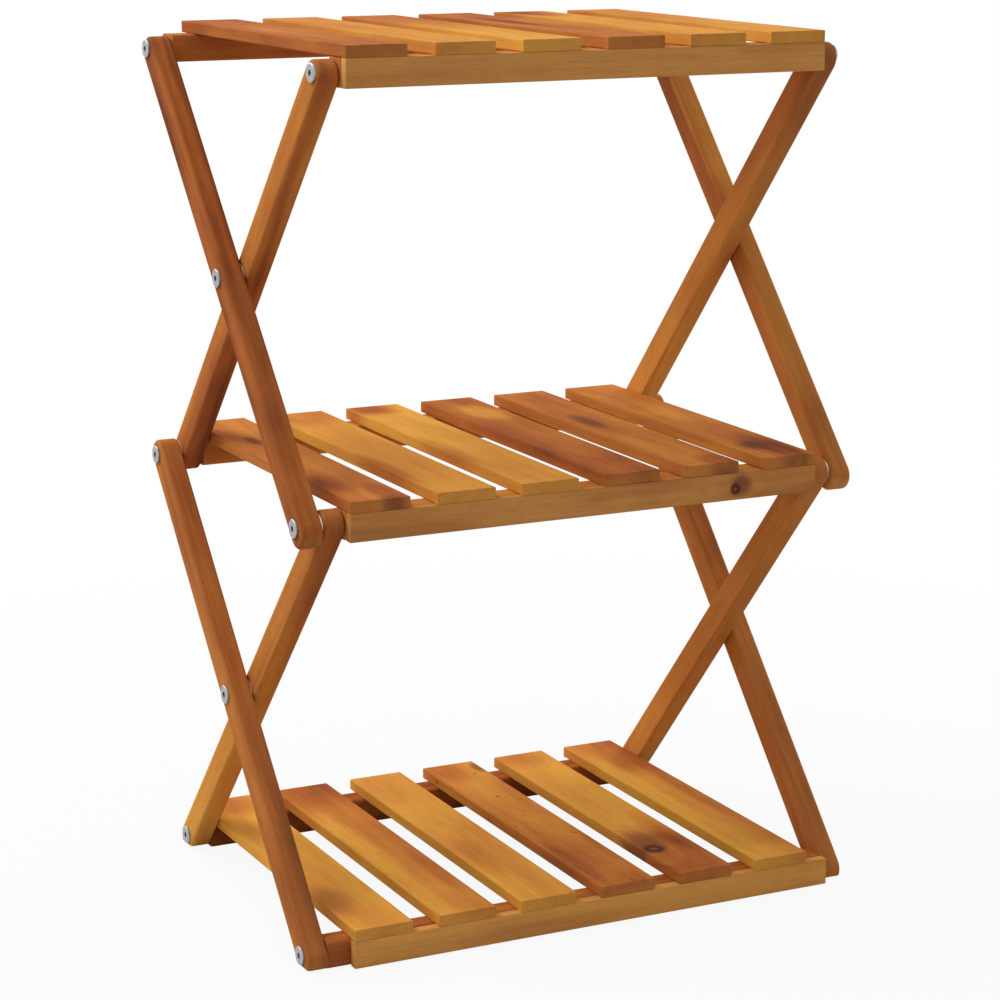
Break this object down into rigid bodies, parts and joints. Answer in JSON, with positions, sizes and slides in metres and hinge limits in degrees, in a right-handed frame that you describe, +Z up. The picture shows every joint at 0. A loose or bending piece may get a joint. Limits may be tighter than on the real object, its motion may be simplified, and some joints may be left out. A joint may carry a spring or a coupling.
{
  "type": "folding shelf",
  "caption": "Free-standing wooden rack with slatted shelves on cross bars between crossed pivoting legs; it folds flat like lazy tongs.",
  "frame": {"origin": "on the floor, under the middle of the rack", "axes": "+X to the rack's right seen from the front, +Y to the back, +Z up"},
  "size_m": [0.44, 0.31, 0.6398],
  "materials": {
    "acacia_slat": "oiled satin",
    "acacia_batten": "oiled satin",
    "acacia_bar": "oiled satin",
    "acacia_leg": "oiled satin",
    "zinc_bolt": "bright zinc",
    "zinc_washer": "bright zinc",
    "steel_insert": "plain",
    "steel_screw": "yellow zinc"
  },
  "bodies": {
    "front_foot": {"bottom_front_bar": "acacia_bar", "bottom_front_bolts": "zinc_bolt", "bottom_front_inserts": "steel_insert"},
    "lower_outer_legs": {"lower_outer_leg_left": "acacia_leg", "lower_outer_leg_right": "acacia_leg"},
    "lower_inner_legs": {"lower_inner_leg_left": "acacia_leg", "lower_inner_leg_right": "acacia_leg", "lower_cross_bolts": "zinc_bolt", "lower_cross_washers": "zinc_washer", "lower_cross_inserts": "steel_insert"},
    "bottom_shelf": {"bottom_rear_bar": "acacia_bar", "bottom_rear_bolts": "zinc_bolt", "bottom_rear_inserts": "steel_insert", "bottom_front_batten": "acacia_batten", "bottom_slat_screws": "steel_screw", "bottom_slat_1": "acacia_slat", "bottom_slat_2": "acacia_slat", "bottom_slat_3": "acacia_slat", "bottom_slat_4": "acacia_slat", "bottom_slat_5": "acacia_slat", "bottom_slat_6": "acacia_slat"},
    "middle_front_rail": {"middle_front_bar": "acacia_bar", "middle_front_bolts": "zinc_bolt", "middle_front_washers": "zinc_washer", "middle_front_inserts": "steel_insert"},
    "upper_outer_legs": {"upper_outer_leg_left": "acacia_leg", "upper_outer_leg_right": "acacia_leg"},
    "upper_inner_legs": {"upper_inner_leg_left": "acacia_leg", "upper_inner_leg_right": "acacia_leg", "upper_cross_bolts": "zinc_bolt", "upper_cross_washers": "zinc_washer", "upper_cross_inserts": "steel_insert"},
    "middle_rear_pivots": {"middle_rear_bolts": "zinc_bolt", "middle_rear_washers": "zinc_washer"},
    "middle_shelf": {"middle_rear_bar": "acacia_bar", "middle_rear_inserts": "steel_insert", "middle_front_batten": "acacia_batten", "middle_slat_screws": "steel_screw", "middle_slat_1": "acacia_slat", "middle_slat_2": "acacia_slat", "middle_slat_3": "acacia_slat", "middle_slat_4": "acacia_slat", "middle_slat_5": "acacia_slat", "middle_slat_6": "acacia_slat"},
    "top_front_rail": {"top_front_bar": "acacia_bar", "top_front_bolts": "zinc_bolt", "top_front_inserts": "steel_insert"},
    "top_rear_pivots": {"top_rear_bolts": "zinc_bolt"},
    "top_shelf": {"top_rear_bar": "acacia_bar", "top_rear_inserts": "steel_insert", "top_front_batten": "acacia_batten", "top_slat_screws": "steel_screw", "top_slat_1": "acacia_slat", "top_slat_2": "acacia_slat", "top_slat_3": "acacia_slat", "top_slat_4": "acacia_slat", "top_slat_5": "acacia_slat", "top_slat_6": "acacia_slat"}
  },
  "joints": [
    {"name": "fold", "type": "hinge", "parent": "front_foot", "child": "lower_outer_legs", "pos_m": [0, -0.137, 0.01], "axis": [1, 0, 0], "range_deg": [0, 38]},
    {"name": "lower_crossing", "type": "hinge", "parent": "lower_outer_legs", "child": "lower_inner_legs", "pos_m": [0, 0, 0.16284], "axis": [1, 0, 0], "range_deg": [-76, 0]},
    {"name": "bottom_shelf_lift", "type": "hinge", "parent": "lower_inner_legs", "child": "bottom_shelf", "pos_m": [0, 0.137, 0.01], "axis": [-1, 0, 0], "range_deg": [0, 43]},
    {"name": "middle_front_rail_pivot", "type": "hinge", "parent": "lower_inner_legs", "child": "middle_front_rail", "pos_m": [0, -0.137, 0.31567], "axis": [1, 0, 0], "range_deg": [0, 38]},
    {"name": "middle_front_pivot", "type": "hinge", "parent": "lower_inner_legs", "child": "upper_outer_legs", "pos_m": [0, -0.137, 0.31567], "axis": [1, 0, 0], "range_deg": [0, 76]},
    {"name": "upper_crossing", "type": "hinge", "parent": "upper_outer_legs", "child": "upper_inner_legs", "pos_m": [0, 0, 0.46851], "axis": [1, 0, 0], "range_deg": [-76, 0]},
    {"name": "middle_rear_pivot", "type": "hinge", "parent": "upper_inner_legs", "child": "middle_rear_pivots", "pos_m": [0, 0.137, 0.31567], "axis": [1, 0, 0], "range_deg": [0, 38]},
    {"name": "middle_shelf_lift", "type": "hinge", "parent": "middle_rear_pivots", "child": "middle_shelf", "pos_m": [0, 0.137, 0.31567], "axis": [-1, 0, 0], "range_deg": [0, 85]},
    {"name": "top_front_rail_pivot", "type": "hinge", "parent": "upper_inner_legs", "child": "top_front_rail", "pos_m": [0, -0.137, 0.62134], "axis": [1, 0, 0], "range_deg": [0, 38]},
    {"name": "top_rear_pivot", "type": "hinge", "parent": "upper_outer_legs", "child": "top_rear_pivots", "pos_m": [0, 0.137, 0.62134], "axis": [1, 0, 0], "range_deg": [-38, 0]},
    {"name": "top_shelf_lift", "type": "hinge", "parent": "top_rear_pivots", "child": "top_shelf", "pos_m": [0, 0.137, 0.62134], "axis": [-1, 0, 0], "range_deg": [0, 90]}
  ],
  "couplings": [
    {"joint": "lower_crossing", "follows": "fold", "ratio": -2},
    {"joint": "middle_front_rail_pivot", "follows": "fold", "ratio": 1},
    {"joint": "middle_front_pivot", "follows": "fold", "ratio": 2},
    {"joint": "upper_crossing", "follows": "fold", "ratio": -2},
    {"joint": "middle_rear_pivot", "follows": "fold", "ratio": 1},
    {"joint": "top_front_rail_pivot", "follows": "fold", "ratio": 1},
    {"joint": "top_rear_pivot", "follows": "fold", "ratio": -1}
  ]
}
